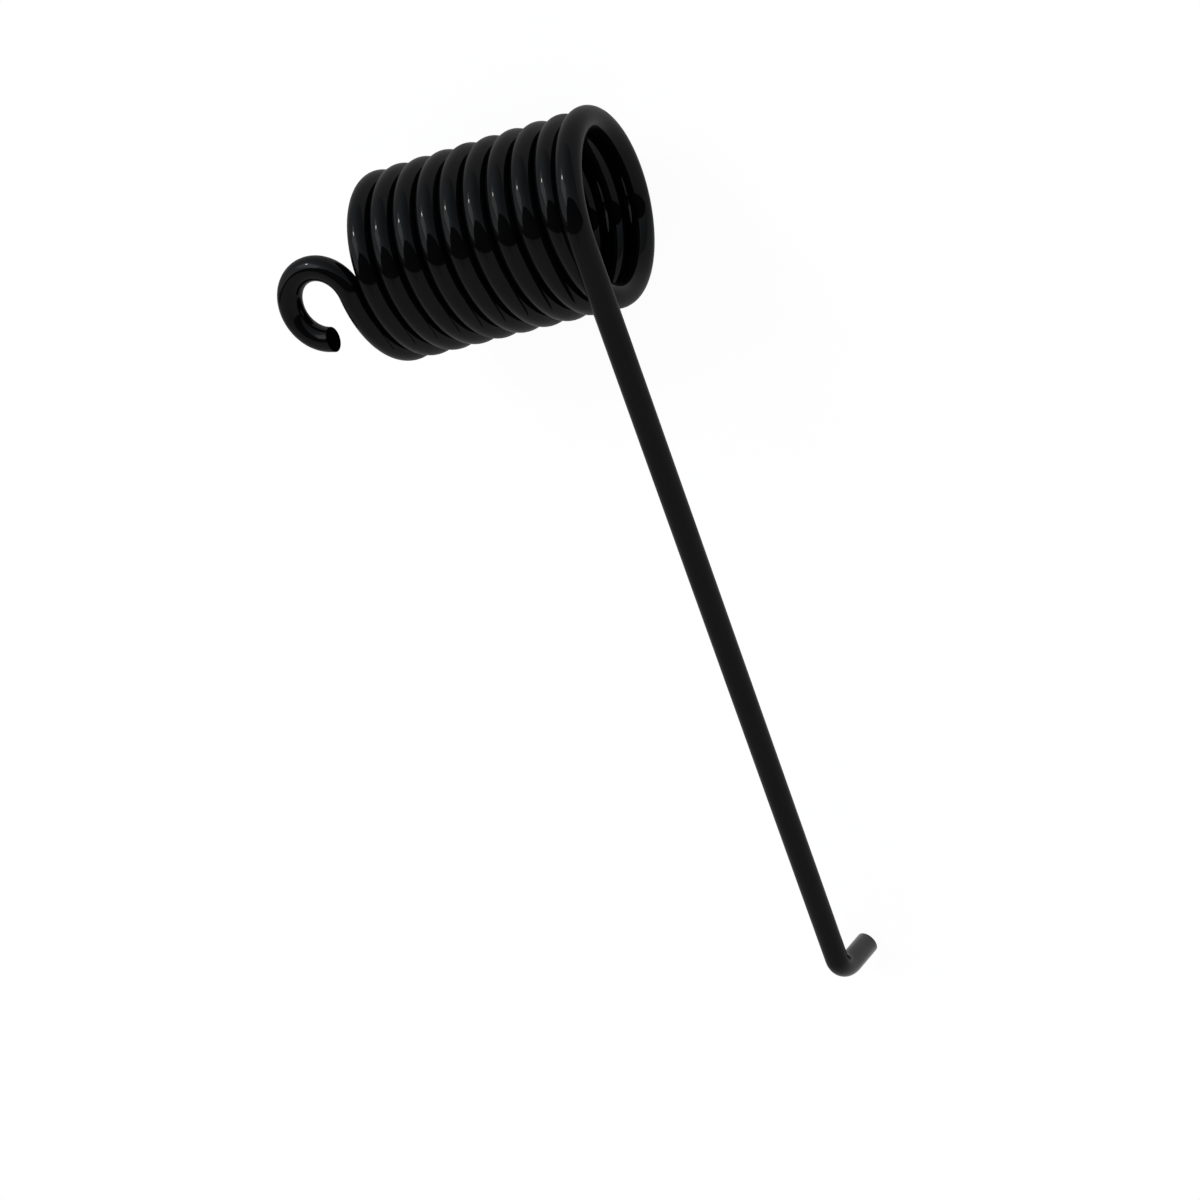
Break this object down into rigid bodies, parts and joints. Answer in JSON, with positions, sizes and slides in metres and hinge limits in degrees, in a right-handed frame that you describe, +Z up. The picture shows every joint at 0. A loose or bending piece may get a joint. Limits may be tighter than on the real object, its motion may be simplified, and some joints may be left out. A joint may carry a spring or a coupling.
{
  "type": "torsion spring",
  "caption": "Close-wound helical torsion spring of black coated round wire, with a curled hook eye and a long straight leg that ends in a short square bend.",
  "frame": {"origin": "centre of the spring's footprint, on the surface that it lies on", "axes": "+X along the coil's axis from the hook eye to the long leg, -Y the way the long leg runs, +Z up"},
  "size_m": [0.0568, 0.154, 0.0324],
  "materials": {
    "black_coating": "gloss"
  },
  "bodies": {
    "root": {"torsion_spring": "black_coating"}
  },
  "joints": []
}
